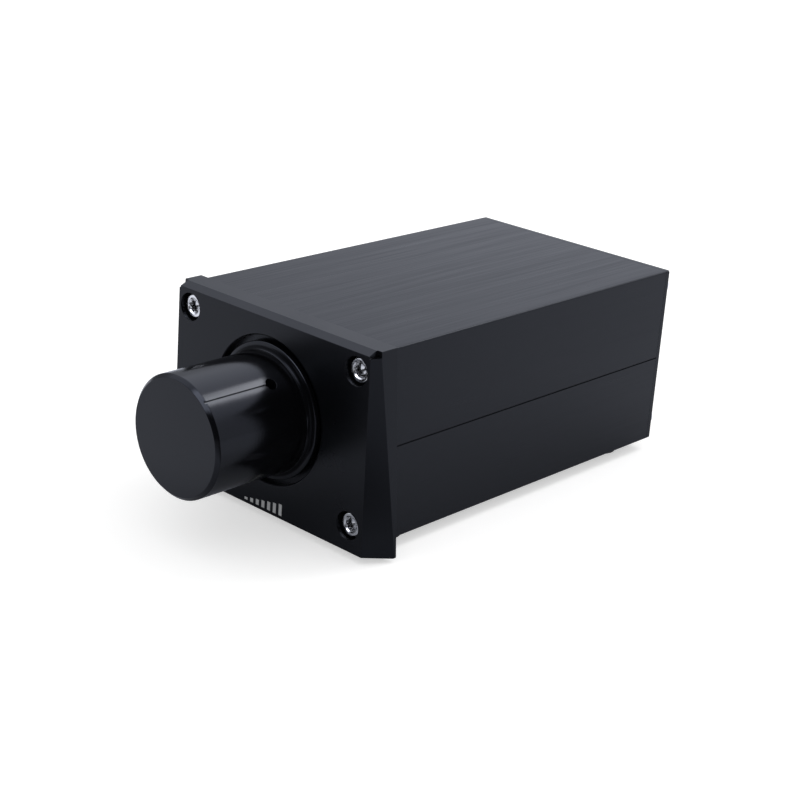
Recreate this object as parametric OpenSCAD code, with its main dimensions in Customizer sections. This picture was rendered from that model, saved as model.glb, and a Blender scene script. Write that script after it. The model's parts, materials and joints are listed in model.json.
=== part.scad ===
// Passive volume controller: a black box of two extruded shells with a thick front panel, a turned
// knob on a dual-gang potentiometer, and four phono sockets in the rear panel.
// Millimetres. X runs to the right, Y from the front to the rear and Z up. The part stands on Z = 0.
// The pieces are drawn in the panel's frame: Y = 0 is the panel's back, Z = 0 the shells' underside
// and X = 0 the middle. seat() then moves them under the middle of the part's bounding box.

/* [Body] */
// Width of the body
body_w = 67.8; // [66:0.2:90]
// Height of the body
body_h = 50; // [48:0.5:64]
// Length of the two shells
shell_l = 109.3; // [100:0.1:160]
// Wall thickness of the shells
wall_t = 2; // [1.8:0.1:2.6]
// Height of the seam above the body's underside
seam_z = 24.6; // [20:0.1:28]
// Radius of the body's long edges
edge_r = 0.6; // [0.3:0.1:1.5]
// Width of the groove that shows at the seam
seam_w = 0.4; // [0.2:0.1:0.8]
// Height of the lower shell's tongue
tongue_h = 1.6; // [1:0.1:3]
// Thickness of the lower shell's tongue
tongue_t = 0.8; // [0.6:0.1:1]
// Thickness of the rear panel
rear_t = 1.5; // [1:0.1:3]

/* [Front panel] */
// Thickness of the front panel
panel_t = 8; // [7.8:0.1:12]
// How far the front panel reaches above the body
panel_rise = 0.5; // [0:0.1:1]
// How far the front panel reaches below the body at its face
face_drop = 1.2; // [0.5:0.1:2.1]
// How far the front panel reaches below the body at its rear
panel_drop = 2.2; // [1.3:0.1:3]
// How far the front panel is wider than the body on each side at its top
side_top_out = 1; // [0.6:0.1:2]
// How far the front panel is wider than the body on each side at its foot
side_foot_out = 5; // [2:0.1:8]
// Depth of the side facet at the panel's top
facet_top_d = 2.5; // [1.5:0.1:5]
// Depth of the side facet at the panel's foot
facet_foot_d = 7.4; // [5:0.1:7.6]
// How far the face is wider than the body on each side at its top
face_top_out = 0; // [0:0.1:0.5]
// How far the face is wider than the body on each side at its foot
face_foot_out = 0.9; // [0.5:0.1:1.9]
// Depth of the bevel along the panel's top edge
bevel_d = 2.4; // [1.5:0.1:6]
// Height of the bevel along the panel's top edge
bevel_h = 1; // [0.3:0.1:2]
// How far the notch at the top of each side facet cuts into the face
notch_w = 0.4; // [0.2:0.1:1]
// Height of the notch at the top of each side facet
notch_h = 1.6; // [1.2:0.1:2.4]
// Diameter of the round recess that the knob's skirt lies in
recess_d = 38.2; // [38:0.1:44]
// Depth of the round recess
recess_depth = 2.5; // [1.5:0.1:3]

/* [Case screws] */
// Distance from the body's middle to each column of case screws
screw_x = 29.6; // [28.6:0.1:29.9]
// Distance of the upper case screws from the body's top
screw_top = 5.2; // [4.5:0.1:7]
// Distance of the lower case screws from the body's underside
screw_low = 5.4; // [3.9:0.1:6]
// Diameter of the case screws' threads
screw_d = 3; // [2.5:0.1:3.2]
// Diameter of the case screws' heads
head_d = 6.2; // [5:0.1:6.4]
// Height of the case screws' heads
head_h = 2.4; // [1.6:0.1:2.8]
// Width of the six-lobe socket in a head
socket_d = 3.8; // [2:0.1:3.8]
// Thickness of the metal between a head's socket and its seat
socket_floor = 0.7; // [0.5:0.1:1]
// Diameter of the front panel's counterbores
counterbore_d = 7.3; // [7:0.1:8]
// How deep the front screws' heads lie below the face
head_sink = 1.2; // [0.2:0.1:2]
// How far each case screw reaches into its channel
screw_grip = 8; // [5:0.5:14]

/* [Feet] */
// Height of the rubber feet
foot_h = 3.2; // [3.1:0.1:6]
// Diameter of the rubber feet
foot_d = 10; // [7:0.5:12]
// Distance of each foot's centre from the body's side
foot_in_x = 9; // [7:0.5:14]
// Distance of each foot's centre from the shell's end
foot_in_y = 10; // [7:0.5:20]

/* [Knob] */
// Diameter of the knob
knob_d = 30.9; // [27:0.1:32]
// How far the knob stands out from the panel's face
knob_out = 29.2; // [24:0.1:36]
// Height of the knob's axis above the body's underside
knob_z = 25.8; // [25:0.1:32]
// Width of the bevel round the knob's front
knob_bevel = 0.9; // [0.3:0.1:2]
// Diameter of the knob's skirt
skirt_d = 35.2; // [34:0.1:37]
// Radius of the fillet between the knob's side and its skirt
skirt_fillet = 1.2; // [0.2:0.1:1.4]
// Thickness of the skirt's edge
skirt_t = 1.7; // [1.5:0.1:3]
// Gap between the knob's base and the floor of the recess
knob_lift = 1; // [0.7:0.1:1.4]
// Angle of the index line, anticlockwise from the right as seen from the front
index_angle = 50; // [0:1:90]
// Width of the index line
index_w = 0.5; // [0.3:0.1:1.2]
// Depth of the index line
index_depth = 0.35; // [0.2:0.05:0.8]
// Diameter of the set screw
grub_d = 3; // [2.5:0.1:4]
// Length of the set screw
grub_l = 6; // [4:0.5:9]
// Distance from the panel's face to the set screw's axis
grub_out = 8.2; // [7:0.1:9]

/* [Potentiometer] */
// Width of the potentiometer's square cases
pot_w = 27; // [25:0.5:30]
// Diameter of the shaft
shaft_d = 6; // [5:0.1:6.4]
// How far the shaft reaches past the bushing
shaft_out = 15; // [12:0.5:16]
// Depth of the flat on the shaft
shaft_flat = 0.5; // [0.3:0.1:1]
// Diameter of the threaded bushing
bushing_d = 9; // [8.5:0.1:10]
// Width of the bushing's nut across its flats
nut_w = 12; // [11:0.5:13]
// Thickness of the bushing's nut
nut_t = 2.2; // [1.8:0.1:2.4]
// Thickness of the bushing's washer
washer_t = 0.6; // [0.4:0.1:0.8]
// How far the bushing reaches past its nut
bushing_end = 0.6; // [0.2:0.1:0.8]
// Thickness of the mounting plate
plate_t = 1.5; // [1.2:0.1:2.5]
// Length of each gang's case
case_l = 9.5; // [9.2:0.1:12]
// Radius of the round chamber in each case
chamber_r = 11.2; // [10.5:0.1:11.6]
// Thickness of the resistor wafers
wafer_t = 1.6; // [1.2:0.1:2]
// Thickness of the rear cover
cover_t = 3; // [2.5:0.1:4]
// Distance between neighbouring solder terminals
terminal_pitch = 5; // [4.6:0.1:6]
// How far the solder terminals stand out
terminal_out = 3.5; // [2.5:0.1:3.8]

/* [Phono sockets] */
// Distance between the left and right sockets
socket_pitch_x = 28; // [22:0.5:32]
// Distance between the upper and lower sockets
socket_pitch_z = 20; // [19.5:0.5:22]
// Outer diameter of a socket's sleeve
sleeve_d = 8.3; // [8.2:0.1:8.4]
// Length of a socket's sleeve
sleeve_l = 8; // [7:0.5:10]
// Inner diameter of a socket's sleeve
sleeve_bore = 7.2; // [7:0.1:7.4]
// Diameter of a socket's threaded barrel
barrel_d = 8; // [7.6:0.1:8]
// How far the barrel reaches inside the rear panel
barrel_l = 9; // [8:0.5:12]
// Diameter of the hole in a centre contact
pin_bore = 3.2; // [3:0.1:3.3]
// Depth of the hole in a centre contact
pin_depth = 14; // [12:0.5:15]
// Diameter of a socket's flange
flange_d = 12; // [11.5:0.1:14]
// Thickness of a socket's flange
flange_t = 2; // [1.5:0.1:3]

/* [Wires] */
// Outer diameter of the insulated wires
wire_d = 1.6; // [1.2:0.1:1.7]
// Diameter of the bare jumpers
jumper_d = 1; // [0.6:0.1:1.6]

/* [Fits] */
// Radial clearance of the shaft in its bearings
shaft_gap = 0.05; // [0.02:0.01:0.1]
// Radial gap round threads, drawn as plain cylinders
thread_gap = 0.03; // [0.01:0.01:0.05]
// Radial clearance of bolts and bushings in their holes
hole_gap = 0.15; // [0.05:0.05:0.3]
// Radial gap between pieces that are pushed together
push_gap = 0.02; // [0.01:0.01:0.04]
// Gap at the shaft's axial stops
end_gap = 0.2; // [0.1:0.05:0.4]

/* [Hidden] */

$fn = 64;
// What a cut runs past the surface that it opens
cut = 1;
half_w = body_w / 2;
sides = [-1, 1];

// Colours
black_anodised = [0.15, 0.155, 0.17];
steel = [0.75, 0.75, 0.76];
dark_rubber = [0.1, 0.1, 0.1];
brass = [0.8, 0.65, 0.3];
phenolic = [0.45, 0.28, 0.15];
copper = [0.8, 0.45, 0.25];

// Front panel
face_y = -panel_t;
side_levels = 24;
panel_top_z = body_h + panel_rise;
panel_h = panel_top_z + panel_drop;
panel_reach = half_w + side_foot_out + cut;
foot_chamfer = 0.3;
// The notch ends just behind the facet
notch_past = 0.1;
notch_x = half_w + face_top_out - notch_w;
notch_back_y = face_y + facet_top_d + (facet_foot_d - facet_top_d) * notch_h / panel_h + notch_past;
counterbore_depth = head_sink + head_h;
seat_y = face_y + counterbore_depth;
floor_y = face_y + recess_depth;
edge_break = 0.3;

// Shells
boss_r = 3.3;
boss_web = 3;
upper_screw_z = body_h - screw_top;
seam_cut = seam_w / 2;
tongue_gap = 0.1;

// How much narrower the feet are at the bottom
foot_taper = 0.5;

// Knob, measured along Y
knob_front_y = face_y - knob_out;
knob_back_y = floor_y - knob_lift;
nut_front_y = floor_y - washer_t - nut_t;
bushing_front_y = nut_front_y - bushing_end;
shaft_front_y = bushing_front_y - shaft_out;
shaft_room = 1;
nut_room = 1.1;
well_y = bushing_front_y - shaft_room;
well_r = nut_w / 2 / cos(30) + nut_room;
knob_bore_end = shaft_front_y - shaft_room;
knob_r = knob_d / 2;
skirt_r = skirt_d / 2;
grub_y = face_y - grub_out;
flat_r = shaft_d / 2 - shaft_flat;
flat_back_y = bushing_front_y - shaft_room;
skirt_top_y = knob_back_y - skirt_t;
skirt_round = 0.4;
skirt_flat = 0.2;
// The fillet leaves at least a narrow flat rim on the skirt
fillet_r = min(skirt_fillet, skirt_r - skirt_round - skirt_flat - knob_r);

// Screws
head_round = 0.4;
socket_mouth = 0.3;
socket_point_angle = 120;
thread_point = 0.5;
grub_socket_w = 1.5;
grub_socket_depth = 1.8;

// Potentiometer, measured along Y from the panel's back
shaft_break = 0.5;
cover_floor = 1.2;
case_1_y = plate_t;
wafer_1_y = case_1_y + case_l;
case_2_y = wafer_1_y + wafer_t;
wafer_2_y = case_2_y + case_l;
cover_y = wafer_2_y + wafer_t;
shaft_back_y = cover_y + cover_t - cover_floor;
pot_washer_r = nut_w / 2 + 1;
ring_t = 0.8;
ring_r = shaft_d / 2 + 2;
rotor_hub_r = shaft_d / 2 + 2.4;
rotor_disc_r = chamber_r - 1.4;
rotor_disc_t = 1.5;
rotor_l = 5;
wiper_t = 0.4;
wiper_w = 2;
wiper_reach = 0.9;
wiper_out_r = rotor_disc_r - 0.6;
wiper_tip_r = 0.6;
wiper_gap = 0.2;
wafer_gap = 0.5;
rivet_r = 1;
rivet_head_r = 1.7;
rivet_head_h = 0.6;
rivet_in = 2.2;
pot_corner_r = 1.2;
lug_x = -10;
lug_r = 1;
lug_l = 1.5;
terminal_w = 1.4;
terminal_t = 0.6;
terminal_in = 5;
terminal_tip_z = knob_z - pot_w / 2 - terminal_out;

// Phono sockets: name, column and row
JACKS = [["in_left", -1, 1], ["in_right", 1, 1], ["out_left", -1, -1], ["out_right", 1, -1]];
rear_y = shell_l + rear_t;
washer_out_t = 1;
washer_in_t = 0.8;
jack_lug_t = 0.5;
jack_nut_t = 2.2;
jack_nut_w = 11;
jack_hole_r = barrel_d / 2 + 1.1;
jack_washer_r = 6.2;
jack_lug_r = 6.2;
tab_w = 2.4;
tab_reach = 8.5;
inner_bore_r = barrel_d / 2 - 1;
contact_wall = 0.4;
contact_back = -barrel_l - 3;
tail_l = 4;
tail_r = 1.2;
sleeve_end = washer_out_t + flange_t + sleeve_l;
insulator_sink = 0.6;
insulator_front = sleeve_end - insulator_sink;
insulator_back = -barrel_l - 1;
contact_front = insulator_front - 0.2;
lug_back = -rear_t - washer_in_t;
lug_front = lug_back - jack_lug_t;

// Wires
wire_sides = 8;
wire_steps = 4;
ground_drop = 7.3;

// The part's own origin lies under the middle of its bounding box
origin_y = (knob_front_y + rear_y + sleeve_end) / 2;

// Moves a piece from the panel's frame to the part's frame
module seat() {
    translate([0, -origin_y, foot_h]) children();
}

// Moves a piece to the knob's axis
module on_axis() {
    seat() translate([0, 0, knob_z]) children();
}

// A solid of revolution about Y from a profile of [radius, y] points
module turned(profile) {
    rotate([-90, 0, 0]) rotate_extrude() polygon(profile);
}

// A cylinder along Y between two places
module rod(r, y0, y1) {
    translate([0, y0, 0]) rotate([-90, 0, 0]) cylinder(r = r, h = y1 - y0);
}

// A tube along Y between two places
module tube(r_out, r_in, y0, y1) {
    difference() {
        rod(r_out, y0, y1);
        rod(r_in, y0 - cut, y1 + cut);
    }
}

// Extrudes an outline in X and Z along Y
module along_y(y0, y1) {
    translate([0, y1, 0]) rotate([90, 0, 0]) linear_extrude(y1 - y0) children();
}

// Extrudes an outline in Y and Z along X
module along_x(x0, x1) {
    translate([x0, 0, 0]) rotate([90, 0, 90]) linear_extrude(x1 - x0) children();
}

// Centred square with round corners
module round_square(w, h, r) {
    square([w - 2 * r, h], center = true);
    square([w, h - 2 * r], center = true);
    for (x = sides, z = sides) translate([x * (w / 2 - r), z * (h / 2 - r)]) circle(r);
}

// A hexagonal prism along Y between two places, with its flats up and down
module hex_rod(w, y0, y1) {
    translate([0, y0, 0]) rotate([-90, 0, 0]) cylinder(r = w / 2 / cos(30), h = y1 - y0, $fn = 6);
}

// Four places in the corners of the case, as [x, z]
function screw_places() = [for (x = sides, z = [screw_low, upper_screw_z]) [x * screw_x, z]];

// Outline of what is cut away beside the panel, for the right side, at a share of the way down.
// Its first point carries the facet's line on to just in front of the face.
function side_outline(share) = let(
    side_x = half_w + side_top_out + (side_foot_out - side_top_out) * share,
    face_x = half_w + face_top_out + (face_foot_out - face_top_out) * share,
    facet_d = facet_top_d + (facet_foot_d - facet_top_d) * share
) [
    [face_x + (face_x - side_x) * cut / facet_d, face_y - cut], [panel_reach + cut, face_y - cut],
    [panel_reach + cut, cut], [side_x, cut], [side_x, face_y + facet_d]
];

// Faces of a loft whose rings of n points run anticlockwise as seen from its far end
function loft_faces(rings, n) = concat(
    [[for (k = [0:n - 1]) k]],
    [for (i = [0:rings - 2], k = [0:n - 1]) each [
        [i * n + k, (i + 1) * n + k, i * n + (k + 1) % n],
        [i * n + (k + 1) % n, (i + 1) * n + k, (i + 1) * n + (k + 1) % n]
    ]],
    [[for (k = [n - 1:-1:0]) (rings - 1) * n + k]]
);

// What is cut away beside the panel: the side facet and what lies past the slanting side
module panel_side_cut() {
    shares = [for (i = [side_levels + 1:-1:0]) (i - 0.5) / side_levels];
    points = [for (u = shares, p = side_outline(u)) [p[0], p[1], panel_top_z - panel_h * u]];
    polyhedron(points, loft_faces(len(shares), len(side_outline(0))));
}

// What is cut off the panel's lower corner
module foot_corner_cut() {
    size = foot_chamfer * sqrt(2);
    translate([half_w + side_foot_out, cut, -panel_drop]) rotate([90, 0, 0])
        linear_extrude(panel_t + 2 * cut) rotate(45) square(size, center = true);
}

// The notch at the top of the side facet
module notch_cut() {
    translate([notch_x, face_y - cut, panel_top_z - notch_h])
        cube([panel_reach - notch_x + cut, notch_back_y - face_y + cut, notch_h + cut]);
}

// What is cut off below the panel, whose underside slants down towards the rear
module underside_cut() {
    slope = (panel_drop - face_drop) / panel_t;
    along_x(-panel_reach - cut, panel_reach + cut) polygon([
        [face_y - cut, -face_drop + slope * cut], [face_y - cut, -panel_drop - 2 * cut],
        [cut, -panel_drop - 2 * cut], [cut, -panel_drop - slope * cut]
    ]);
}

module front_panel() {
    color(black_anodised) seat() difference() {
        translate([-panel_reach, face_y, -panel_drop]) cube([2 * panel_reach, panel_t, panel_h]);
        for (side = [0, 1]) mirror([side, 0, 0]) {
            panel_side_cut();
            foot_corner_cut();
            notch_cut();
        }
        underside_cut();
        along_x(-panel_reach - cut, panel_reach + cut) polygon([
            [face_y - cut, panel_top_z - bevel_h * (bevel_d + cut) / bevel_d],
            [face_y + bevel_d, panel_top_z], [face_y + bevel_d, panel_top_z + cut],
            [face_y - cut, panel_top_z + cut]
        ]);
        translate([0, 0, knob_z]) {
            rod(recess_d / 2, face_y - cut, floor_y);
            turned([
                [0, face_y - cut], [recess_d / 2 + edge_break + cut, face_y - cut],
                [recess_d / 2, face_y + edge_break], [0, face_y + edge_break]
            ]);
            rod(bushing_d / 2 + hole_gap, floor_y - cut, cut);
            translate([lug_x, 0, 0]) rod(lug_r + hole_gap, -lug_l - end_gap, cut);
        }
        for (p = screw_places()) translate([p[0], 0, p[1]]) {
            rod(counterbore_d / 2, face_y - cut, seat_y);
            rod(screw_d / 2 + hole_gap, seat_y - cut, cut);
        }
    }
}

// Outline of half a body with its rounded edges at the bottom
module half_outline(h) {
    translate([-half_w, edge_r]) square([body_w, h - edge_r]);
    translate([-half_w + edge_r, 0]) square([body_w - 2 * edge_r, h]);
    for (x = sides) translate([x * (half_w - edge_r), edge_r]) circle(edge_r);
}

// Section of a half shell whose closed side is at the bottom, with its two screw channels
module shell_section(h, screw_z) {
    difference() {
        union() {
            difference() {
                half_outline(h);
                translate([-half_w + wall_t, wall_t]) square([body_w - 2 * wall_t, h]);
            }
            for (x = sides) {
                translate([x * screw_x, screw_z]) circle(boss_r);
                translate([x * (screw_x + boss_web / 2), screw_z / 2])
                    square([boss_web, screw_z], center = true);
                translate([x * (half_w - wall_t), screw_z]) square(boss_web, center = true);
            }
        }
        for (x = sides) translate([x * screw_x, screw_z]) circle(screw_d / 2 + thread_gap);
        for (x = sides) translate([x * half_w, h]) rotate(45)
            square(seam_cut * sqrt(2), center = true);
    }
}

module lower_shell() {
    tongue_x = half_w - wall_t;
    color(black_anodised) seat() along_y(0, shell_l) {
        shell_section(seam_z, screw_low);
        for (x = sides) translate([x * (tongue_x + tongue_t / 2), seam_z])
            square([tongue_t, 2 * tongue_h], center = true);
    }
}

module upper_shell() {
    rebate_w = tongue_t + tongue_gap;
    color(black_anodised) seat() along_y(0, shell_l) difference() {
        translate([0, body_h]) mirror([0, 1]) shell_section(body_h - seam_z, screw_top);
        for (x = sides) translate([x * (half_w - wall_t + rebate_w / 2), seam_z])
            square([rebate_w, 2 * (tongue_h + tongue_gap)], center = true);
    }
}

module rear_panel() {
    color(black_anodised) seat() difference() {
        along_y(shell_l, rear_y) translate([0, body_h / 2]) round_square(body_w, body_h, edge_r);
        for (p = screw_places()) translate([p[0], 0, p[1]])
            rod(screw_d / 2 + hole_gap, shell_l - cut, rear_y + cut);
        for (j = JACKS) translate(jack_place(j)) rod(jack_hole_r, -rear_t - cut, cut);
    }
}

// A case screw along Y with its head's seat at Y = 0 and its thread towards +Y
module case_screw(shank_l) {
    head_r = head_d / 2;
    lobe_r = socket_d / 6;
    core_r = socket_d / 2 - lobe_r;
    mouth_r = socket_d / 2 + socket_mouth;
    floor_tip = core_r / tan(socket_point_angle / 2);
    difference() {
        turned(concat(
            [[0, -head_h]],
            [for (a = [0:15:90])
                [head_r - head_round * (1 - sin(a)), -head_h + head_round * (1 - cos(a))]],
            [[head_r, 0], [screw_d / 2, 0], [screw_d / 2, shank_l - thread_point],
             [screw_d / 2 - thread_point, shank_l], [0, shank_l]]
        ));
        turned([
            [0, -head_h - cut], [mouth_r + cut, -head_h - cut], [socket_d / 2, -head_h + socket_mouth],
            [core_r, -head_h + socket_mouth], [core_r, -socket_floor], [0, floor_tip - socket_floor]
        ]);
        for (k = [0:5]) rotate([0, 60 * k, 0]) translate([core_r, 0, 0])
            rod(lobe_r, -head_h - cut, -socket_floor);
    }
}

module front_screws() {
    color(steel) seat() for (p = screw_places()) translate([p[0], seat_y, p[1]])
        case_screw(screw_grip - seat_y);
}

module rear_screws() {
    color(steel) seat() for (p = screw_places()) translate([p[0], rear_y, p[1]])
        mirror([0, 1, 0]) case_screw(screw_grip + rear_t);
}

// A rubber foot at the given side and end of the lower shell
module foot(x, y) {
    foot_r = foot_d / 2;
    color(dark_rubber) seat() translate([x * (half_w - foot_in_x), y, 0]) mirror([0, 0, 1]) {
        cylinder(r1 = foot_r, r2 = foot_r - foot_taper, h = foot_h);
    }
}

// Side profile of the knob as [radius, y] points, from the middle of its front to its base
function knob_profile() = concat(
    [[0, knob_front_y], [knob_r - knob_bevel, knob_front_y], [knob_r, knob_front_y + knob_bevel]],
    [for (a = [0:15:90])
        [knob_r + fillet_r * (1 - cos(a)), skirt_top_y - fillet_r * (1 - sin(a))]],
    [for (a = [0:30:90])
        [skirt_r - skirt_round * (1 - sin(a)), skirt_top_y + skirt_round * (1 - cos(a))]],
    [[skirt_r, knob_back_y - edge_break], [skirt_r - edge_break, knob_back_y], [well_r, knob_back_y],
     [well_r, well_y], [0, well_y]]
);

module knob() {
    color(black_anodised) on_axis() difference() {
        turned(knob_profile());
        rod(shaft_d / 2 + push_gap, knob_bore_end, well_y + cut);
        rotate([0, -index_angle, 0]) {
            translate([0, grub_y, 0]) rotate([0, 90, 0]) cylinder(r = grub_d / 2, h = knob_r + cut);
            translate([knob_r - index_depth, knob_front_y - cut, -index_w / 2])
                cube([index_depth + cut, grub_y - knob_front_y + cut, index_w]);
        }
    }
}

module knob_set_screw() {
    color(steel) on_axis() rotate([0, -index_angle, 0]) translate([flat_r, grub_y, 0]) rotate([0, 90, 0])
        difference() {
            cylinder(r = grub_d / 2 - thread_gap, h = grub_l);
            translate([0, 0, grub_l - grub_socket_depth])
                cylinder(r = grub_socket_w / 2 / cos(30), h = grub_l, $fn = 6);
        }
}

module pot_shaft() {
    shaft_r = shaft_d / 2;
    color(steel) on_axis() difference() {
        turned([
            [0, shaft_front_y], [shaft_r - shaft_break, shaft_front_y],
            [shaft_r, shaft_front_y + shaft_break], [shaft_r, shaft_back_y], [0, shaft_back_y]
        ]);
        rotate([0, -index_angle, 0]) translate([flat_r, shaft_front_y - cut, -shaft_r])
            cube([shaft_r, flat_back_y - shaft_front_y + cut, shaft_d]);
    }
}

module shaft_ring() {
    ring_y = plate_t + end_gap;
    color(steel) on_axis() tube(ring_r, shaft_d / 2 + push_gap, ring_y, ring_y + ring_t);
}

module pot_bushing() {
    color(steel) on_axis() difference() {
        union() {
            along_y(0, plate_t) round_square(pot_w, pot_w, pot_corner_r);
            rod(bushing_d / 2, bushing_front_y, cut / 2);
            translate([lug_x, 0, 0]) rod(lug_r, -lug_l, cut / 2);
        }
        rod(shaft_d / 2 + shaft_gap, bushing_front_y - cut, plate_t + cut);
        rivet_holes(-cut, plate_t + cut);
    }
}

// The four rivet holes through the potentiometer's stack
module rivet_holes(y0, y1) {
    for (x = sides, z = sides) translate([x * (pot_w / 2 - rivet_in), 0, z * (pot_w / 2 - rivet_in)])
        rod(rivet_r + push_gap, y0, y1);
}

module pot_rivets() {
    color(steel) on_axis() for (x = sides, z = sides)
        translate([x * (pot_w / 2 - rivet_in), 0, z * (pot_w / 2 - rivet_in)]) turned([
            [0, 0], [rivet_r, 0], [rivet_r, cover_y + cover_t], [rivet_head_r, cover_y + cover_t],
            [rivet_r, cover_y + cover_t + rivet_head_h], [0, cover_y + cover_t + rivet_head_h]
        ]);
}

module pot_washer() {
    color(steel) on_axis() tube(pot_washer_r, bushing_d / 2 + hole_gap, floor_y - washer_t, floor_y);
}

module pot_nut() {
    color(steel) on_axis() difference() {
        hex_rod(nut_w, nut_front_y, nut_front_y + nut_t);
        rod(bushing_d / 2 + thread_gap, nut_front_y - cut, nut_front_y + nut_t + cut);
    }
}

// One gang's case, which starts at y0
module gang_case(y0) {
    color(dark_rubber) on_axis() difference() {
        along_y(y0, y0 + case_l) round_square(pot_w, pot_w, pot_corner_r);
        rod(chamber_r, y0 - cut, y0 + case_l + cut);
        rivet_holes(y0 - cut, y0 + case_l + cut);
    }
}

// The three solder terminals' strips behind a wafer's rear face
module terminal_strips(wafer_y, gap) {
    for (k = [-1:1]) translate([
        k * terminal_pitch - terminal_w / 2 - gap, wafer_y + wafer_t - terminal_t,
        -pot_w / 2 - terminal_out
    ]) cube([terminal_w + 2 * gap, terminal_t + gap, terminal_out + terminal_in]);
}

// One gang's resistor wafer, which starts at y0
module gang_wafer(y0) {
    color(phenolic) on_axis() difference() {
        along_y(y0, y0 + wafer_t) round_square(pot_w, pot_w, pot_corner_r);
        rod(shaft_d / 2 + wafer_gap, y0 - cut, y0 + wafer_t + cut);
        rivet_holes(y0 - cut, y0 + wafer_t + cut);
        terminal_strips(y0, push_gap);
    }
}

// One gang's terminals, on the wafer that starts at y0
module gang_terminals(y0) {
    color(brass) on_axis() terminal_strips(y0, 0);
}

// Place of the rotor's rear face, for the wafer that starts at y0
function rotor_back(y0) = y0 - wiper_gap - wiper_reach;

// One gang's rotor in front of the wafer that starts at y0
module gang_rotor(y0) {
    back = rotor_back(y0);
    color(dark_rubber) on_axis() difference() {
        union() {
            rod(rotor_hub_r, back - rotor_l, back);
            rod(rotor_disc_r, back - rotor_disc_t, back);
        }
        rod(shaft_d / 2 + push_gap, back - rotor_l - cut, back + cut);
    }
}

// One gang's spring wiper, a ring on the rotor with two raised contact tips
module gang_wiper(y0) {
    back = rotor_back(y0);
    color(brass) on_axis() {
        tube(wiper_out_r, wiper_out_r - wiper_w, back, back + wiper_t);
        for (x = sides) translate([x * (wiper_out_r - wiper_w / 2), 0, 0])
            rod(wiper_tip_r, back + wiper_t / 2, back + wiper_reach);
    }
}

module pot_rear_cover() {
    color(steel) on_axis() difference() {
        along_y(cover_y, cover_y + cover_t) round_square(pot_w, pot_w, pot_corner_r);
        rod(shaft_d / 2 + shaft_gap, cover_y - cut, shaft_back_y + end_gap);
        rivet_holes(cover_y - cut, cover_y + cover_t + cut);
    }
}

// Where a socket's axis meets the rear panel's outer face
function jack_place(j) =
    [j[1] * socket_pitch_x / 2, rear_y, body_h / 2 + j[2] * socket_pitch_z / 2];

// Moves a socket's piece to its place
module at_jack(j) {
    seat() translate(jack_place(j)) children();
}

module jack_shell(j) {
    flange_front = washer_out_t + flange_t;
    sleeve_r = sleeve_d / 2;
    color(brass) at_jack(j) turned([
        [inner_bore_r, -barrel_l], [barrel_d / 2, -barrel_l], [barrel_d / 2, washer_out_t],
        [flange_d / 2, washer_out_t], [flange_d / 2, flange_front - edge_break],
        [flange_d / 2 - edge_break, flange_front], [sleeve_r, flange_front],
        [sleeve_r, sleeve_end - edge_break], [sleeve_r - edge_break, sleeve_end],
        [sleeve_bore / 2, sleeve_end], [sleeve_bore / 2, washer_out_t],
        [inner_bore_r, washer_out_t]
    ]);
}

module jack_insulator(j) {
    body_r = sleeve_bore / 2 - push_gap;
    back_r = inner_bore_r - push_gap;
    bore_r = pin_bore / 2 + contact_wall + push_gap;
    color(j[1] > 0 ? "firebrick" : "ivory") at_jack(j) turned([
        [bore_r, insulator_back], [back_r, insulator_back], [back_r, washer_out_t], [body_r, washer_out_t],
        [body_r, insulator_front], [bore_r, insulator_front]
    ]);
}

module jack_contact(j) {
    contact_r = pin_bore / 2 + contact_wall;
    color(brass) at_jack(j) difference() {
        turned([
            [0, contact_back - tail_l], [tail_r, contact_back - tail_l], [tail_r, contact_back],
            [contact_r, contact_back], [contact_r, contact_front], [0, contact_front]
        ]);
        rod(pin_bore / 2, contact_front - pin_depth, contact_front + cut);
    }
}

module jack_lug(j) {
    color(steel) at_jack(j) difference() {
        union() {
            rod(jack_lug_r, lug_front, lug_back);
            translate([-tab_w / 2, lug_front, -tab_reach]) cube([tab_w, jack_lug_t, 2 * tab_reach]);
        }
        rod(barrel_d / 2 + thread_gap, lug_front - cut, lug_back + cut);
    }
}

module socket_outer_washers() {
    bore_r = barrel_d / 2 + thread_gap;
    color(dark_rubber) for (j = JACKS) at_jack(j) turned([
        [bore_r, -rear_t], [jack_hole_r - push_gap, -rear_t], [jack_hole_r - push_gap, 0],
        [jack_washer_r, 0], [jack_washer_r, washer_out_t], [bore_r, washer_out_t]
    ]);
}

module socket_inner_washers() {
    color(dark_rubber) for (j = JACKS) at_jack(j)
        tube(jack_washer_r, barrel_d / 2 + thread_gap, lug_back, -rear_t);
}

module socket_nuts() {
    color(steel) for (j = JACKS) at_jack(j) difference() {
        hex_rod(jack_nut_w, lug_front - jack_nut_t, lug_front);
        rod(barrel_d / 2 + thread_gap, lug_front - jack_nut_t - cut, lug_front + cut);
    }
}

function unit(v) = v / norm(v);

// A point between p1 and p2 on a smooth curve that also heeds their neighbours p0 and p3
function curve_point(p0, p1, p2, p3, t) =
    (2 * p1 + (p2 - p0) * t + (2 * p0 - 5 * p1 + 4 * p2 - p3) * t * t
    + (3 * p1 - p0 - 3 * p2 + p3) * t * t * t) / 2;

// A smooth path through a route's points, straight along its first and its last stretch
function smooth_path(route) = let(last = len(route) - 1) concat(
    [route[0]],
    [for (i = [1:last - 2], k = [0:wire_steps - 1])
        curve_point(route[i - 1], route[i], route[i + 1], route[i + 2], k / wire_steps)],
    [route[last - 1], route[last]]
);

// Direction of a path at one of its points
function heading(path, i) = unit(path[min(i + 1, len(path) - 1)] - path[max(i - 1, 0)]);

// A direction square to a heading that stays close to an earlier one
function squared(v, along) = unit(v - (v * along) * along);

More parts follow.
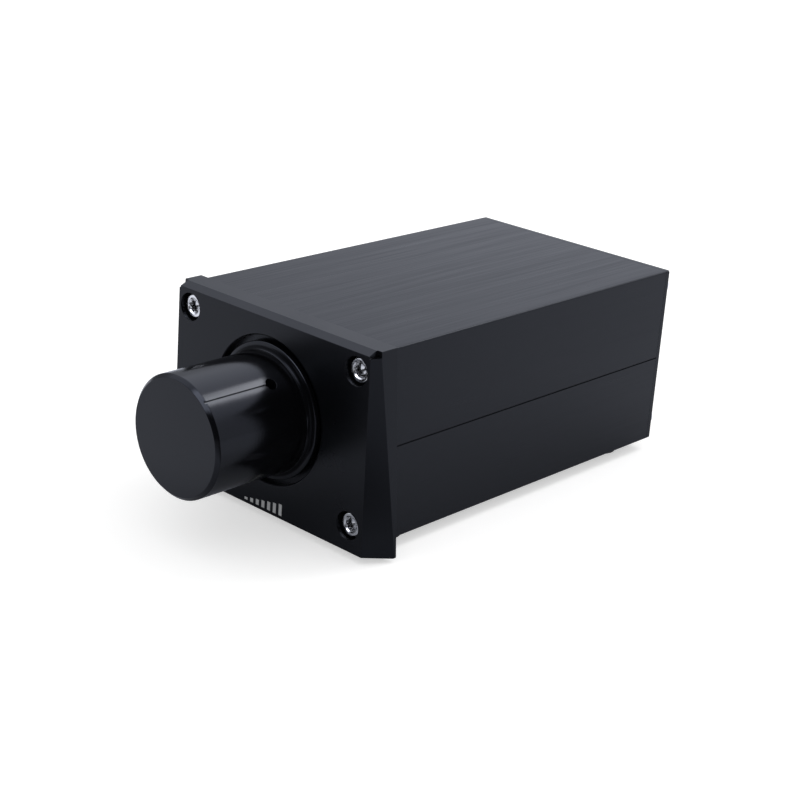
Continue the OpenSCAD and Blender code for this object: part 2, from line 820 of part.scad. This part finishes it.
// Round wire along a route
module wire(route, d) {
    path = smooth_path(route);
    rings = len(path);
    across = [for (i = 0, v = squared([1, 0, 0], heading(path, 0)); i < rings;
        i = i + 1, v = i < rings ? squared(v, heading(path, i)) : v) v];
    points = [for (i = [0:rings - 1], k = [0:wire_sides - 1]) let(a = 360 * k / wire_sides)
        path[i] + d / 2 * (cos(a) * across[i] + sin(a) * cross(heading(path, i), across[i]))];
    polyhedron(points, loft_faces(rings, wire_sides));
}

// Tip of a solder terminal: gang 0 or 1, and place -1 to 1
function terminal_tip(gang, place) =
    [place * terminal_pitch, (gang == 0 ? case_2_y : cover_y) - terminal_t / 2, terminal_tip_z];

// Rear end of the inner contact of a socket
function tail_end(j) = jack_place(j) + [0, contact_back - tail_l, 0];

// Where a ground wire meets the lower tab of a socket's lug
function tab_place(j) = jack_place(j) + [0, lug_front, -ground_drop];

// A whole route from a terminal's tip to its end, with chosen points between
function wire_route(start, between, end) = concat(
    [start, start - [0, 0, wire_d]], between, [end - [0, 2 * wire_d, 0], end]
);

// Points chosen along each wire, from the potentiometer to the socket
in_left_points = [[-7.5, 17, 4.8], [-8, 34, 5.5], [-11, 52, 14], [-14, 74, 31]];
out_left_points = [[-2.5, 17, 4.8], [-3, 36, 4.8], [-8, 58, 8], [-13, 78, 14]];
ground_left_points = [[2.5, 17, 4.8], [1.5, 38, 4.6], [-6, 64, 4.6], [-13, 88, 5.6]];
in_right_points = [[-5, 27.5, 5.2], [-4.5, 36, 11], [2, 54, 20], [12, 76, 31]];
out_right_points = [[0, 27.5, 5.2], [0.5, 36, 8.5], [6, 56, 12], [13, 78, 14.5]];
ground_right_points = [[5, 27.5, 5.2], [5.5, 40, 5.2], [9, 64, 4.8], [13, 88, 5.6]];

module wire_in_left() {
    color("white") seat()
        wire(wire_route(terminal_tip(0, -1), in_left_points, tail_end(JACKS[0])), wire_d);
}

module wire_out_left() {
    color("white") seat()
        wire(wire_route(terminal_tip(0, 0), out_left_points, tail_end(JACKS[2])), wire_d);
}

module wire_ground_left() {
    color("dimgray") seat()
        wire(wire_route(terminal_tip(0, 1), ground_left_points, tab_place(JACKS[2])), wire_d);
}

module wire_in_right() {
    color("firebrick") seat()
        wire(wire_route(terminal_tip(1, -1), in_right_points, tail_end(JACKS[1])), wire_d);
}

module wire_out_right() {
    color("firebrick") seat()
        wire(wire_route(terminal_tip(1, 0), out_right_points, tail_end(JACKS[3])), wire_d);
}

module wire_ground_right() {
    color("dimgray") seat()
        wire(wire_route(terminal_tip(1, 1), ground_right_points, tab_place(JACKS[3])), wire_d);
}

// Bare jumper between the facing tabs of an upper and a lower lug
module jumper(upper, lower) {
    top = jack_place(upper);
    gap = socket_pitch_z - 2 * tab_reach;
    color(copper) seat() translate([top[0], top[1] + lug_back - jack_lug_t / 2, top[2] - tab_reach - gap])
        cylinder(r = jumper_d / 2, h = gap);
}

front_panel();
upper_shell();
lower_shell();
rear_panel();
front_screws();
rear_screws();
foot(-1, foot_in_y);  // foot_front_left
foot(1, foot_in_y);  // foot_front_right
foot(-1, shell_l - foot_in_y);  // foot_rear_left
foot(1, shell_l - foot_in_y);  // foot_rear_right
knob();
knob_set_screw();
pot_bushing();
pot_nut();
pot_washer();
pot_shaft();
shaft_ring();
gang_case(case_1_y);  // front_gang_case
gang_case(case_2_y);  // rear_gang_case
gang_wafer(wafer_1_y);  // front_gang_wafer
gang_wafer(wafer_2_y);  // rear_gang_wafer
gang_rotor(wafer_1_y);  // front_gang_rotor
gang_rotor(wafer_2_y);  // rear_gang_rotor
gang_wiper(wafer_1_y);  // front_gang_wiper
gang_wiper(wafer_2_y);  // rear_gang_wiper
gang_terminals(wafer_1_y);  // front_gang_terminals
gang_terminals(wafer_2_y);  // rear_gang_terminals
pot_rear_cover();
pot_rivets();
for (j = JACKS) {
    jack_shell(j);
    jack_insulator(j);
    jack_contact(j);
    jack_lug(j);
}
socket_outer_washers();
socket_inner_washers();
socket_nuts();
wire_in_left();
wire_in_right();
wire_out_left();
wire_out_right();
wire_ground_left();
wire_ground_right();
jumper(JACKS[0], JACKS[2]);  // jumper_left
jumper(JACKS[1], JACKS[3]);  // jumper_right
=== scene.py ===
import json
import math

import bmesh
import bpy
from mathutils import Matrix, Vector


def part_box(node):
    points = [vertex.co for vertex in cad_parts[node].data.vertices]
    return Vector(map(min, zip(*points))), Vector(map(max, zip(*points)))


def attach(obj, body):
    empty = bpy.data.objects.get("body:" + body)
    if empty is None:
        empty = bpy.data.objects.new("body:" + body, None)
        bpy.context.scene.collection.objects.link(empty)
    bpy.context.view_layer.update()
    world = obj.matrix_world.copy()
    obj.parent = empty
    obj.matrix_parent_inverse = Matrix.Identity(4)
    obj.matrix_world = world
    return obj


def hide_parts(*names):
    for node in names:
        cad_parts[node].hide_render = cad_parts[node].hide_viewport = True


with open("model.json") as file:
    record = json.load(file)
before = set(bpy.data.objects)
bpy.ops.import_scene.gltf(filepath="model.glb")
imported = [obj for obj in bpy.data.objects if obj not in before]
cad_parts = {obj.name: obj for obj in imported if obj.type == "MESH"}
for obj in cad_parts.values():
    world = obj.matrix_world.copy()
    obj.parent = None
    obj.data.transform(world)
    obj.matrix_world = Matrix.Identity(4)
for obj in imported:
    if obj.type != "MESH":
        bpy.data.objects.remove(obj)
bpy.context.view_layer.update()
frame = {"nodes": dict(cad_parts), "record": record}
nodes = frame["nodes"]
MM = 0.001

# Camera, fitted to the case's edges in the photograph. The fit's origin lies 9.1 mm behind the front
# panel's face, at the height of the case's underside.
FOCAL_PX = 1714.3
IMAGE_PX = 800
SENSOR_MM = 36.0
AZIMUTH = 0.73326
ELEVATION = 0.36078
ROLL = 0.06845
OFFSET = Vector((-28.25, -24.762, -437.368)) * MM
FACE_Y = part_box("front_panel")[0].y
FIT_ORIGIN = Vector((0, FACE_Y + 9.1 * MM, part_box("lower_shell")[0].z))
CLIP_START = 10 * MM


def make_camera():
    back = Vector((math.sin(AZIMUTH) * math.cos(ELEVATION), -math.cos(AZIMUTH) * math.cos(ELEVATION),
                   math.sin(ELEVATION)))
    right = Vector((0, 0, 1)).cross(back).normalized()
    up = back.cross(right)
    turned_right = math.cos(ROLL) * right + math.sin(ROLL) * up
    turned_up = math.cos(ROLL) * up - math.sin(ROLL) * right
    rotation = Matrix((turned_right, turned_up, back)).transposed()
    data = bpy.data.cameras.new("camera")
    data.sensor_width = SENSOR_MM
    data.lens = FOCAL_PX * SENSOR_MM / IMAGE_PX
    data.clip_start = CLIP_START
    camera = bpy.data.objects.new("camera", data)
    camera.matrix_world = Matrix.Translation(FIT_ORIGIN - rotation @ OFFSET) @ rotation.to_4x4()
    bpy.context.scene.collection.objects.link(camera)
    bpy.context.scene.camera = camera


make_camera()


class Graph:
    """A node tree, with short names for the nodes that are made often."""

    def __init__(self, tree):
        self.tree = tree

    def add(self, kind, **settings):
        node = self.tree.nodes.new(kind)
        for key, value in settings.items():
            setattr(node, key, value)
        return node

    def link(self, source, target):
        self.tree.links.new(source, target)

    def fill(self, socket, value):
        """Gives a socket a number or a tuple, or else links it to another node's output."""
        if isinstance(value, (int, float, tuple)):
            socket.default_value = value
        else:
            self.link(value, socket)

    def math(self, operation, first, second=0.0):
        node = self.add("ShaderNodeMath", operation=operation)
        for socket, value in zip(node.inputs, (first, second)):
            self.fill(socket, value)
        return node.outputs["Value"]

    def vector(self, operation, first, second=(0.0, 0.0, 0.0), result="Vector"):
        node = self.add("ShaderNodeVectorMath", operation=operation)
        for socket, value in zip(node.inputs, (first, second)):
            self.fill(socket, value)
        return node.outputs[result]

    def ranged(self, value, low, high, out_low, out_high):
        """Goes from out_low to out_high while the value goes from low to high."""
        node = self.add("ShaderNodeMapRange")
        self.link(value, node.inputs["Value"])
        for key, number in (("From Min", low), ("From Max", high), ("To Min", out_low), ("To Max", out_high)):
            node.inputs[key].default_value = number
        return node.outputs["Result"]

    def ramp(self, value, colours):
        """Colours at even places from 0 to 1."""
        node = self.add("ShaderNodeValToRGB")
        steps = node.color_ramp.elements
        while len(steps) < len(colours):
            steps.new(0.5)
        for i, colour in enumerate(colours):
            steps[i].position = i / (len(colours) - 1)
            steps[i].color = (*colour, 1)
        self.link(value, node.inputs["Fac"])
        return node.outputs["Color"]


# Most of a noise lies between these
NOISE_SPAN = (0.3, 0.7)
NOISE_ROUGHNESS = 0.55


class Look(Graph):
    """A material's node tree around one shader."""

    def __init__(self, name):
        self.material = bpy.data.materials.new(name)
        self.material.use_nodes = True
        super().__init__(self.material.node_tree)
        self.tree.nodes.clear()
        self.shader = self.add("ShaderNodeBsdfPrincipled")
        output = self.add("ShaderNodeOutputMaterial")
        self.link(self.shader.outputs["BSDF"], output.inputs["Surface"])
        self.place = self.add("ShaderNodeTexCoord").outputs["Object"]

    def noise(self, per_metre, detail):
        """Noise with its own number of features per metre along X, Y and Z."""
        mapping = self.add("ShaderNodeMapping")
        mapping.inputs["Scale"].default_value = per_metre
        self.link(self.place, mapping.inputs["Vector"])
        noise = self.add("ShaderNodeTexNoise")
        noise.inputs["Scale"].default_value = 1.0
        noise.inputs["Detail"].default_value = detail
        noise.inputs["Roughness"].default_value = NOISE_ROUGHNESS
        self.link(mapping.outputs["Vector"], noise.inputs["Vector"])
        return noise.outputs["Fac"]

    def varied(self, noise, low, high):
        """A number that varies from low to high with a noise."""
        return self.ranged(noise, *NOISE_SPAN, low, high)

    def bump(self, height, strength, distance):
        node = self.add("ShaderNodeBump")
        node.inputs["Strength"].default_value = strength
        node.inputs["Distance"].default_value = distance
        self.link(height, node.inputs["Height"])
        self.link(node.outputs["Normal"], self.shader.inputs["Normal"])

    def set(self, **values):
        for key, value in values.items():
            if isinstance(value, tuple):
                value = (*value, 1)
            self.fill(self.shader.inputs[key.replace("_", " ")], value)
        return self.material


# Materials

# Black anodised aluminium reflects little, and a bit more blue than red
ANODISED_TINT = (0.84, 0.88, 1.0)
ANODISED_IOR = 1.31
TURNED_IOR = 1.34
PLAIN_SHINE = 0.5
# The groove along the shells' seam lies in its own shadow, which is painted by lowering the shine there; the
# painted shade fades out between these distances from the seam
SEAM_PAINTED_SHADE = (0.16 * MM, 0.24 * MM)
SEAM_PAINTED_SHADE_SHINE = 0.04
# The knob's shine changes from the first value to the second as its surface is seen more edge-on
KNOB_EDGE_ON = (0.55, 0.85)
KNOB_SHINE = (PLAIN_SHINE, 0.12)
KNOB_RINGS_PER_METRE = 700
# Painted shade: the fillet at the knob's foot gets less shine. It starts and ends between these distances
# from the axis.
FILLET_START = (15.5 * MM, 15.8 * MM)
FILLET_END = (16.4 * MM, 16.8 * MM)
FILLET_PAINTED_SHADE_SHINE = 0.2
# Painted shade: the steel's colour in a screw's socket is darkened as less of the space within this reach is
# open
SOCKET_REACH = 1.6 * MM
SOCKET_OPEN = (0.35, 0.85)
SOCKET_PAINTED_SHADE = (0.12, 1.0)


def anodised_brushed():
    """Black anodised extrusion with fine streaks along its length, and shade painted into its shine along the
    seam.
    """
    g = Look("anodised_brushed")
    fine = g.noise(per_metre=(2600, 30, 2600), detail=2.0)
    broad = g.noise(per_metre=(420, 9, 420), detail=3.0)
    both = g.math("ADD", g.math("MULTIPLY", fine, 0.6), g.math("MULTIPLY", broad, 0.4))
    g.bump(fine, strength=0.25, distance=0.02 * MM)
    split = g.add("ShaderNodeSeparateXYZ")
    g.link(g.place, split.inputs["Vector"])
    seam_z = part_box("upper_shell")[0].z
    off_seam = g.math("ABSOLUTE", g.math("SUBTRACT", split.outputs["Z"], seam_z))
    return g.set(
        Base_Color=g.ramp(both, ((0.0025, 0.0027, 0.0036), (0.0045, 0.0048, 0.006), (0.0075, 0.008, 0.0095))),
        Roughness=g.varied(both, 0.26, 0.42),
        # Painted shade: less shine in the seam's groove
        Specular_IOR_Level=g.ranged(off_seam, *SEAM_PAINTED_SHADE, SEAM_PAINTED_SHADE_SHINE, PLAIN_SHINE),
        Specular_Tint=ANODISED_TINT, IOR=ANODISED_IOR)


def anodised_satin():
    """Black anodised plate with a fine, even grain."""
    g = Look("anodised_satin")
    grain = g.noise(per_metre=(5200, 5200, 5200), detail=2.0)
    cloud = g.noise(per_metre=(60, 60, 60), detail=3.0)
    g.bump(grain, strength=0.12, distance=0.01 * MM)
    return g.set(
        Base_Color=g.ramp(cloud, ((0.0016, 0.0018, 0.0024), (0.0026, 0.0028, 0.0036))),
        Roughness=g.varied(cloud, 0.27, 0.33),
        Specular_Tint=ANODISED_TINT, IOR=ANODISED_IOR)


def anodised_turned():
    """Black anodised knob, turned on a lathe: fine rings along its side, and shade painted into the shine of
    the fillet at its foot.
    """
    g = Look("anodised_turned")
    rings = g.add("ShaderNodeTexWave", wave_type="BANDS", bands_direction="Y", wave_profile="SIN")
    rings.inputs["Scale"].default_value = KNOB_RINGS_PER_METRE
    rings.inputs["Distortion"].default_value = 0.0
    g.link(g.place, rings.inputs["Vector"])
    g.bump(rings.outputs["Fac"], strength=0.15, distance=0.02 * MM)
    cloud = g.noise(per_metre=(90, 90, 90), detail=3.0)
    edge_on = g.add("ShaderNodeLayerWeight").outputs["Facing"]
    low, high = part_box("knob")
    off_middle = g.vector("SUBTRACT", g.place, tuple((low + high) / 2))
    radius = g.vector("LENGTH", g.vector("MULTIPLY", off_middle, (1.0, 0.0, 1.0)), result="Value")
    fillet = g.math("MULTIPLY", g.ranged(radius, *FILLET_START, 0.0, 1.0),
                    g.ranged(radius, *FILLET_END, 1.0, 0.0))
    # Painted shade: the fillet's shine is lowered
    shine = g.math("MULTIPLY", g.ranged(edge_on, *KNOB_EDGE_ON, *KNOB_SHINE),
                   g.ranged(fillet, 0.0, 1.0, 1.0, FILLET_PAINTED_SHADE_SHINE))
    return g.set(
        Base_Color=g.ramp(cloud, ((0.0018, 0.0019, 0.0025), (0.0028, 0.0029, 0.0036))),
        Roughness=g.varied(cloud, 0.13, 0.17),
        Specular_IOR_Level=shine, Specular_Tint=ANODISED_TINT, IOR=TURNED_IOR)


def metal(name, dark, light, rough):
    """A bare or plated metal with faint marks."""
    g = Look(name)
    marks = g.noise(per_metre=(900, 900, 900), detail=4.0)
    g.bump(marks, strength=0.08, distance=0.01 * MM)
    return g.set(Base_Color=g.ramp(marks, (dark, light)), Metallic=1.0,
                 Roughness=g.varied(marks, rough * 0.8, rough * 1.25))


def bright_steel():
    """Polished steel, with shade painted into its colour in deep, narrow places such as a screw's socket."""
    g = Look("steel")
    marks = g.noise(per_metre=(900, 900, 900), detail=4.0)
    g.bump(marks, strength=0.08, distance=0.01 * MM)
    hidden = g.add("ShaderNodeAmbientOcclusion", samples=8, only_local=True)
    hidden.inputs["Distance"].default_value = SOCKET_REACH
    light = g.ranged(hidden.outputs["AO"], *SOCKET_OPEN, *SOCKET_PAINTED_SHADE)
    # Painted shade: the colour is darkened where the socket's walls close in
    colour = g.vector("MULTIPLY", g.ramp(marks, ((0.72, 0.72, 0.73), (0.88, 0.88, 0.88))), light)
    return g.set(Base_Color=colour, Metallic=1.0, Roughness=g.varied(marks, 0.14, 0.24))


def moulded(name, dark, light, rough):
    """A moulded plastic or rubber with a fine grain."""
    g = Look(name)
    grains = g.noise(per_metre=(2200, 2200, 2200), detail=3.0)
    g.bump(grains, strength=0.2, distance=0.02 * MM)
    return g.set(Base_Color=g.ramp(grains, (dark, light)), IOR=1.45,
                 Roughness=g.varied(grains, rough * 0.9, rough * 1.1))


def laminate():
    """Pressed brown laminate of the resistor wafers, with cloudy layers."""
    g = Look("laminate")
    cloud = g.noise(per_metre=(400, 2500, 400), detail=4.0)
    return g.set(Base_Color=g.ramp(cloud, ((0.16, 0.07, 0.03), (0.3, 0.15, 0.07))), Roughness=0.5, IOR=1.5)


# The look of each of the record's material slots
LOOKS = {
    "black_anodised": anodised_brushed(),
    "steel": bright_steel(),
    "rubber": moulded("rubber", (0.008, 0.008, 0.008), (0.018, 0.018, 0.018), 0.75),
    "black_plastic": moulded("black_plastic", (0.01, 0.01, 0.01), (0.02, 0.02, 0.02), 0.5),
    "phenolic": laminate(),
    "spring_brass": metal("spring_brass", (0.6, 0.4, 0.15), (0.75, 0.55, 0.25), 0.25),
    "tinned_brass": metal("tinned_brass", (0.55, 0.53, 0.5), (0.7, 0.68, 0.64), 0.3),
    "gold_plated_brass": metal("gold_plated_brass", (0.78, 0.52, 0.16), (0.88, 0.66, 0.28), 0.16),
    "white_plastic": moulded("white_plastic", (0.74, 0.72, 0.67), (0.82, 0.8, 0.75), 0.3),
    "red_plastic": moulded("red_plastic", (0.4, 0.012, 0.012), (0.5, 0.025, 0.02), 0.3),
    "white_insulation": moulded("white_insulation", (0.7, 0.7, 0.67), (0.8, 0.8, 0.77), 0.45),
    "red_insulation": moulded("red_insulation", (0.35, 0.012, 0.012), (0.46, 0.02, 0.02), 0.45),
    "grey_insulation": moulded("grey_insulation", (0.06, 0.06, 0.065), (0.1, 0.1, 0.105), 0.45),
    "tinned_copper": metal("tinned_copper", (0.55, 0.5, 0.46), (0.72, 0.66, 0.6), 0.25),
}
LOOK_OF = {row["node"]: LOOKS[row["material_slot"]] for row in frame["record"]["subparts"]}
LOOK_OF["front_panel"] = LOOK_OF["rear_panel"] = anodised_satin()
LOOK_OF["knob"] = anodised_turned()
BODY_OF = {node: body for body, members in frame["record"]["behaviour"]["bodies"].items() for node in members}

for node, look in LOOK_OF.items():
    nodes[node].data.materials.clear()
    nodes[node].data.materials.append(look)


def new_object(name, bm, material):
    mesh = bpy.data.meshes.new(name)
    bm.to_mesh(mesh)
    bm.free()
    obj = bpy.data.objects.new(name, mesh)
    bpy.context.scene.collection.objects.link(obj)
    mesh.materials.append(material)
    return obj


# Pieces whose edges are rounded, as they are on the real machined and extruded parts

WELD = 0.0005 * MM
FLAT_ANGLE = math.radians(0.1)
ROUND_SEGMENTS = 3
# Width of each piece's rounded edges in millimetres, and the angle in degrees from which an edge is one
EDGE_ROUNDS = {
    "front_panel": (0.16, 6), "upper_shell": (0.12, 28), "lower_shell": (0.12, 28), "rear_panel": (0.15, 28),
    "knob": (0.1, 28), "front_screws": (0.07, 28), "rear_screws": (0.07, 28),
}
# The most that a face of the knob's side is turned from the true round side
FACET_ANGLE = math.radians(3.5)
# The most that the normals of one smooth face of the front panel differ where they meet
BLEND_ANGLE = math.radians(4)


def soften(node, width, degrees):
    """Puts a copy of a CAD piece with rounded edges in the piece's place."""
    edge_angle = math.radians(degrees)
    source = nodes[node]
    bm = bmesh.new()
    bm.from_mesh(source.data)
    bm.transform(source.matrix_world)
    bmesh.ops.remove_doubles(bm, verts=bm.verts, dist=WELD)
    bmesh.ops.dissolve_limit(bm, angle_limit=FLAT_ANGLE, verts=bm.verts, edges=bm.edges)
    obj = new_object(node + "_edges", bm, LOOK_OF[node])
    for face in obj.data.polygons:
        face.use_smooth = True
    obj.data.set_sharp_from_angle(angle=edge_angle)
    bevel = obj.modifiers.new("bevel", "BEVEL")
    bevel.width = width * MM
    bevel.segments = ROUND_SEGMENTS
    bevel.limit_method = "ANGLE"
    bevel.angle_limit = edge_angle
    bevel.harden_normals = True
    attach(obj, BODY_OF[node])
    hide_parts(node)
    return obj


def with_normals(obj, change):
    """Applies a piece's rounding, then lets a function change the normals of its faces' corners."""
    graph = bpy.context.evaluated_depsgraph_get()
    mesh = bpy.data.meshes.new_from_object(obj.evaluated_get(graph))
    normals = [corner.vector.copy() for corner in mesh.corner_normals]
    change(mesh, normals)
    mesh.normals_split_custom_set(normals)
    obj.modifiers.clear()
    obj.data = mesh


def true_side(mesh, normals):
    """Gives the knob's side its exact normals, so that long reflections on it run straight."""
    low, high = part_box("knob")
    axis = (low + high) / 2
    for face in mesh.polygons:
        outward = Vector((face.center.x - axis.x, 0, face.center.z - axis.z))
        if outward.angle(face.normal, math.pi) < FACET_ANGLE:
            for loop in face.loop_indices:
                place = mesh.vertices[mesh.loops[loop].vertex_index].co
                normals[loop] = Vector((place.x - axis.x, 0, place.z - axis.z)).normalized()


def blended(mesh, normals):
    """Blends the nearly equal normals that meet at a point, so that a twisted face looks smooth."""
    meeting = [[] for _ in mesh.vertices]
    for face in mesh.polygons:
        for loop in face.loop_indices:
            meeting[mesh.loops[loop].vertex_index].append((loop, face.area))
    old = [normal.copy() for normal in normals]
    for corners in meeting:
        for loop, _ in corners:
            near = [(other, area) for other, area in corners
                    if old[other].angle(old[loop], math.pi) < BLEND_ANGLE]
            normals[loop] = sum((old[other] * area for other, area in near), Vector()).normalized()


softened = {node: soften(node, *edges) for node, edges in EDGE_ROUNDS.items()}
with_normals(softened["knob"], true_side)
with_normals(softened["front_panel"], blended)


# A row of rising bars where the photographed panel has its word, printed on the face

BAR_COUNT = 7
BAR_PITCH = 2.1 * MM
BAR_W = 1.1 * MM
BAR_LOW = 0.7 * MM
BAR_HIGH = 3.1 * MM
BAR_BASE = FIT_ORIGIN.z - 0.3 * MM
INK_T = 0.03 * MM
INK_SEAT = 0.01 * MM
INK_ROUND = 0.012 * MM


def make_mark():
    ink = moulded("ink", (0.42, 0.43, 0.44), (0.5, 0.51, 0.52), 0.5)
    bm = bmesh.new()
    for i in range(BAR_COUNT):
        high = BAR_LOW + (BAR_HIGH - BAR_LOW) * i / (BAR_COUNT - 1)
        across = (i - (BAR_COUNT - 1) / 2) * BAR_PITCH
        middle = Vector((across, FACE_Y - INK_T / 2 + INK_SEAT, BAR_BASE + high / 2))
        size = Matrix.Diagonal((BAR_W, INK_T, high, 1))
        bmesh.ops.create_cube(bm, size=1, matrix=Matrix.Translation(middle) @ size)
    bmesh.ops.bevel(bm, geom=bm.edges[:], offset=INK_ROUND, segments=2, affect="EDGES", profile=0.5)
    obj = new_object("panel_mark", bm, ink)
    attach(obj, "chassis")


make_mark()


# Floor, lamp and world. The photographed case reflects a bright room, but a dark one at the front right,
# towards the camera, so the world is darker there in reflections, and shade is painted into the floor's
# colour as reflections see it. Rows of four numbers are for Graph.ranged: two limits of a measure, and the
# values at them.

WHITE = (1.0, 1.0, 1.0)
REFLECTED = (0.84, 0.88, 1.0)
FRONT_RIGHT = (0.72, -0.69, 0.0)
FRONT_LEFT = (-0.6, -0.8, 0.0)
LEFT = (-0.98, 0.2, 0.0)
UP = (0.0, 0.0, 1.0)
KEY = (0.1, -0.64, 0.76)

FLOOR_HALF = 6.0
# Brightness of the unshaded floor in reflections and in diffuse light, and its glow to the camera
FLOOR_REFLECTED = 0.95
FLOOR_PLAIN = 0.8
FLOOR_SEEN = 0.5
# Painted shade, seen only in reflections, by how directly a place on the floor lies at the front right, and
# the share of it by distance
FRONT_PAINTED_SHADE = (0.93, 0.985, 0.0, 0.92)
FRONT_PAINTED_SHADE_PART = (0.06, 0.1, 0.0, 1.0)
# Painted shadow, seen only in reflections, by the distance from a place under the knob
UNDER_KNOB = (0.02, -0.07, 0.0)
KNOB_PAINTED_SHADOW = (0.02, 0.06, 0.35, 0.0)
# Painted shadow, seen only in reflections, by the distance from the case
CASE_HALF = (0.034, 0.06, 0.0)
CASE_PAINTED_SHADOW = (0.0, 0.05, 0.35, 0.0)
# Painted glow in reflections by how far a place lies to the front left
LEFT_PAINTED_GLOW = (0.05, 0.12, 0.0, 0.15)

# Reflected light of the world by how far a direction turns towards each of these, all multiplied
WORLD_CHANGES = (
    (FRONT_RIGHT, (0.05, 0.55, 1.0, 0.05)),
    (LEFT, (0.75, 0.95, 1.0, 0.35)),
    (UP, (0.4, 0.75, 1.0, 2.0)),
)
# A bright patch that only reflections find
KEY_PATCH = (0.93, 0.97, 0.0, 4.5)
DIFFUSE_LIGHT = 0.8

SOFTBOX_PLACE = (0.3, 1.0, 1.15)
SOFTBOX_TARGET = (0.0, -0.03, 0.03)
SOFTBOX_SIZE = (0.5, 0.4)
SOFTBOX_POWER = 4.7


def make_floor():
    mesh = bpy.data.meshes.new("floor")
    half = FLOOR_HALF
    corners = [(-half, -half, 0), (half, -half, 0), (half, half, 0), (-half, half, 0)]
    mesh.from_pydata(corners, [], [(0, 1, 2, 3)])
    floor = bpy.data.objects.new("floor", mesh)
    bpy.context.scene.collection.objects.link(floor)
    g = Look("floor")
    path = g.add("ShaderNodeLightPath")
    seen = g.math("MAXIMUM", path.outputs["Is Camera Ray"], path.outputs["Is Transmission Ray"])
    glossy = path.outputs["Is Glossy Ray"]

    toward_right = g.vector("DOT_PRODUCT", g.vector("NORMALIZE", g.place), FRONT_RIGHT, "Value")
    toward_left = g.vector("DOT_PRODUCT", g.place, FRONT_LEFT, "Value")
    from_middle = g.vector("LENGTH", g.place, result="Value")
    from_knob = g.vector("DISTANCE", g.place, UNDER_KNOB, "Value")
    past_case = g.vector("SUBTRACT", g.vector("ABSOLUTE", g.place), CASE_HALF)
    beside_case = g.vector("MAXIMUM", past_case, (0.0, 0.0, 0.0))
    from_case = g.vector("LENGTH", beside_case, result="Value")

    # Painted shade and shadows, which only reflections see, darken the floor's colour
    floor_painted_shade = g.math("MULTIPLY", g.ranged(toward_right, *FRONT_PAINTED_SHADE), g.ranged(from_middle, *FRONT_PAINTED_SHADE_PART))
    for distance, change in ((from_knob, KNOB_PAINTED_SHADOW), (from_case, CASE_PAINTED_SHADOW)):
        floor_painted_shade = g.math("MAXIMUM", floor_painted_shade, g.ranged(distance, *change))
    light = g.math("MULTIPLY", FLOOR_REFLECTED, g.math("SUBTRACT", 1.0, floor_painted_shade))
    grey = g.math("ADD", g.math("MULTIPLY", glossy, light),
                  g.math("MULTIPLY", g.math("SUBTRACT", 1.0, glossy), FLOOR_PLAIN))
    colour = g.vector("MULTIPLY", g.ramp(grey, ((0, 0, 0), WHITE)), g.ramp(glossy, (WHITE, REFLECTED)))
    # The floor glows white to the camera, and a painted glow at the front left shows in reflections
    backdrop_and_painted_glow = g.math("ADD", g.math("MULTIPLY", seen, FLOOR_SEEN),
                  g.math("MULTIPLY", glossy, g.ranged(toward_left, *LEFT_PAINTED_GLOW)))
    g.set(Base_Color=colour, Roughness=0.9, IOR=1.2, Emission_Color=WHITE, Emission_Strength=backdrop_and_painted_glow)
    mesh.materials.append(g.material)


def make_world():
    """White to the camera, soft in diffuse light, and dark at the front right in reflections."""
    world = bpy.data.worlds.new("world")
    world.use_nodes = True
    g = Graph(world.node_tree)
    path = g.add("ShaderNodeLightPath")
    glossy = path.outputs["Is Glossy Ray"]
    seen = g.math("MAXIMUM", path.outputs["Is Camera Ray"], path.outputs["Is Transmission Ray"])
    plain = g.math("SUBTRACT", 1.0, g.math("MAXIMUM", glossy, seen))
    direction = g.add("ShaderNodeTexCoord").outputs["Generated"]

    def by_direction(toward, change):
        return g.ranged(g.vector("DOT_PRODUCT", direction, toward, "Value"), *change)

    room = 1.0
    for toward, change in WORLD_CHANGES:
        room = g.math("MULTIPLY", room, by_direction(toward, change))
    reflected = g.math("ADD", room, by_direction(KEY, KEY_PATCH))
    strength = g.math("ADD", g.math("ADD", g.math("MULTIPLY", glossy, reflected), seen),
                      g.math("MULTIPLY", plain, DIFFUSE_LIGHT))
    background = g.tree.nodes["Background"]
    g.link(g.ramp(glossy, (WHITE, REFLECTED)), background.inputs["Color"])
    g.link(strength, background.inputs["Strength"])
    bpy.context.scene.world = world


def make_softbox():
    data = bpy.data.lights.new("softbox", "AREA")
    data.shape = "RECTANGLE"
    data.size, data.size_y = SOFTBOX_SIZE
    data.energy = SOFTBOX_POWER
    lamp = bpy.data.objects.new("softbox", data)
    lamp.location = SOFTBOX_PLACE
    lamp.rotation_mode = "QUATERNION"
    lamp.rotation_quaternion = (Vector(SOFTBOX_TARGET) - Vector(SOFTBOX_PLACE)).to_track_quat("-Z", "Y")
    bpy.context.scene.collection.objects.link(lamp)


make_floor()
make_world()
make_softbox()

bpy.context.scene.view_settings.view_transform = "Standard"
